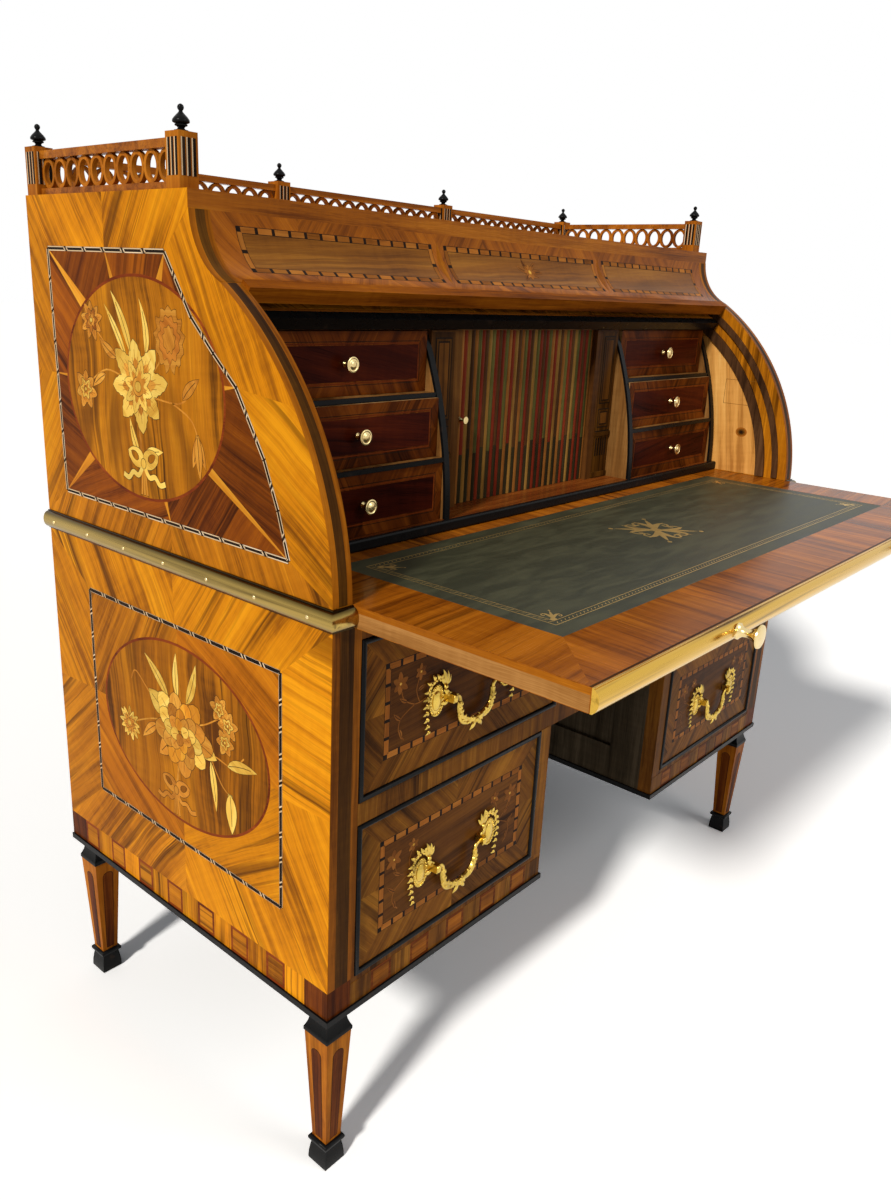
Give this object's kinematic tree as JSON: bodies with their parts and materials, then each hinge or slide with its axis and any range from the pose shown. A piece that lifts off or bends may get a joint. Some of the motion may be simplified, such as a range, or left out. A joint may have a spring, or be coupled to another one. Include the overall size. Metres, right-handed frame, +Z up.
{
  "type": "cylinder desk",
  "caption": "Veneered cylinder desk on tapered legs: curved fall, pull-out leather writing slide, nest of small drawers with tambour, pedestal drawers with bail handles, pierced gallery.",
  "frame": {"origin": "on the floor, under the middle of the object's outline with the slide pulled out", "axes": "+X to the sitter's right, +Y from the front to the back, +Z up"},
  "size_m": [1.196, 0.896, 1.236],
  "materials": {
    "veneer": "french-polished figured walnut veneer",
    "mahogany": "polished red-brown mahogany",
    "softwood": "rough unpolished softwood, darkened",
    "ebonised": "black polished",
    "brass": "polished",
    "gilt": "gilt, chased",
    "leather": "dark green with gold tooling",
    "tambour": "polished slats of many woods"
  },
  "bodies": {
    "case": {"lower_sides": "veneer", "front_frame": "veneer", "upper_sides": "veneer", "top_board": "veneer", "cavetto_frieze": "veneer", "legs": "veneer", "gallery_posts": "veneer", "gallery_rails": "veneer", "gallery_fret": "veneer", "cavetto_lip": "mahogany", "nest_base": "mahogany", "nest_boards": "mahogany", "pilasters": "mahogany", "pedestal_inner_sides": "softwood", "inner_boards": "softwood", "back_boards": "softwood", "drawer_beads": "ebonised", "base_plates": "ebonised", "ebonised_feet": "ebonised", "guide_strips": "ebonised", "gallery_finials": "ebonised", "nest_nosing": "ebonised", "nest_edges": "ebonised", "waist_bands": "brass"},
    "writing_slide": {"slide_board": "veneer", "slide_leather": "leather", "slide_edge": "brass", "slide_knobs": "brass"},
    "cylinder": {"cylinder_shell": "veneer", "cylinder_rail": "ebonised"},
    "tambour": {"tambour_slats": "tambour", "tambour_knob": "brass"},
    "lower_left_drawer_body": {"lower_left_drawer": "veneer", "lower_left_rosettes": "gilt"},
    "lower_left_bail_body": {"lower_left_bail": "gilt"},
    "lower_right_drawer_body": {"lower_right_drawer": "veneer", "lower_right_rosettes": "gilt"},
    "lower_right_bail_body": {"lower_right_bail": "gilt"},
    "upper_left_drawer_body": {"upper_left_drawer": "veneer", "upper_left_rosettes": "gilt"},
    "upper_left_bail_body": {"upper_left_bail": "gilt"},
    "upper_right_drawer_body": {"upper_right_drawer": "veneer", "upper_right_rosettes": "gilt"},
    "upper_right_bail_body": {"upper_right_bail": "gilt"},
    "middle_drawer_body": {"middle_drawer": "veneer", "middle_rosettes": "gilt"},
    "middle_bail_body": {"middle_bail": "gilt"},
    "small_left_low_body": {"small_left_low_drawer": "mahogany", "small_left_low_knob": "brass"},
    "small_left_mid_body": {"small_left_mid_drawer": "mahogany", "small_left_mid_knob": "brass"},
    "small_left_top_body": {"small_left_top_drawer": "mahogany", "small_left_top_knob": "brass"},
    "small_right_low_body": {"small_right_low_drawer": "mahogany", "small_right_low_knob": "brass"},
    "small_right_mid_body": {"small_right_mid_drawer": "mahogany", "small_right_mid_knob": "brass"},
    "small_right_top_body": {"small_right_top_drawer": "mahogany", "small_right_top_knob": "brass"}
  },
  "joints": [
    {"name": "slide_travel", "type": "slide", "parent": "case", "child": "writing_slide", "axis": [0, -1, 0], "range_m": [-0.29, 0]},
    {"name": "cylinder_turn", "type": "hinge", "parent": "case", "child": "cylinder", "pos_m": [0, 0.25392, 0.74197], "axis": [-1, 0, 0], "range_deg": [-52.2, 0]},
    {"name": "tambour_travel", "type": "slide", "parent": "case", "child": "tambour", "axis": [1, 0, 0], "range_m": [0, 0.04]},
    {"name": "lower_left_drawer_travel", "type": "slide", "parent": "case", "child": "lower_left_drawer_body", "axis": [0, -1, 0], "range_m": [0, 0.32]},
    {"name": "lower_left_bail_swing", "type": "hinge", "parent": "lower_left_drawer_body", "child": "lower_left_bail_body", "pos_m": [-0.368, -0.132, 0.3735], "axis": [-1, 0, 0], "range_deg": [0, 85]},
    {"name": "lower_right_drawer_travel", "type": "slide", "parent": "case", "child": "lower_right_drawer_body", "axis": [0, -1, 0], "range_m": [0, 0.32]},
    {"name": "lower_right_bail_swing", "type": "hinge", "parent": "lower_right_drawer_body", "child": "lower_right_bail_body", "pos_m": [0.368, -0.132, 0.3735], "axis": [-1, 0, 0], "range_deg": [0, 85]},
    {"name": "upper_left_drawer_travel", "type": "slide", "parent": "case", "child": "upper_left_drawer_body", "axis": [0, -1, 0], "range_m": [0, 0.32]},
    {"name": "upper_left_bail_swing", "type": "hinge", "parent": "upper_left_drawer_body", "child": "upper_left_bail_body", "pos_m": [-0.353, -0.132, 0.601], "axis": [-1, 0, 0], "range_deg": [0, 85]},
    {"name": "upper_right_drawer_travel", "type": "slide", "parent": "case", "child": "upper_right_drawer_body", "axis": [0, -1, 0], "range_m": [0, 0.32]},
    {"name": "upper_right_bail_swing", "type": "hinge", "parent": "upper_right_drawer_body", "child": "upper_right_bail_body", "pos_m": [0.353, -0.132, 0.601], "axis": [-1, 0, 0], "range_deg": [0, 85]},
    {"name": "middle_drawer_travel", "type": "slide", "parent": "case", "child": "middle_drawer_body", "axis": [0, -1, 0], "range_m": [0, 0.32]},
    {"name": "middle_bail_swing", "type": "hinge", "parent": "middle_drawer_body", "child": "middle_bail_body", "pos_m": [0, -0.132, 0.601], "axis": [-1, 0, 0], "range_deg": [0, 85]},
    {"name": "small_left_low_travel", "type": "slide", "parent": "case", "child": "small_left_low_body", "axis": [0, -1, 0], "range_m": [0, 0.15]},
    {"name": "small_left_mid_travel", "type": "slide", "parent": "case", "child": "small_left_mid_body", "axis": [0, -1, 0], "range_m": [0, 0.15]},
    {"name": "small_left_top_travel", "type": "slide", "parent": "case", "child": "small_left_top_body", "axis": [0, -1, 0], "range_m": [0, 0.15]},
    {"name": "small_right_low_travel", "type": "slide", "parent": "case", "child": "small_right_low_body", "axis": [0, -1, 0], "range_m": [0, 0.15]},
    {"name": "small_right_mid_travel", "type": "slide", "parent": "case", "child": "small_right_mid_body", "axis": [0, -1, 0], "range_m": [0, 0.15]},
    {"name": "small_right_top_travel", "type": "slide", "parent": "case", "child": "small_right_top_body", "axis": [0, -1, 0], "range_m": [0, 0.15]}
  ]
}
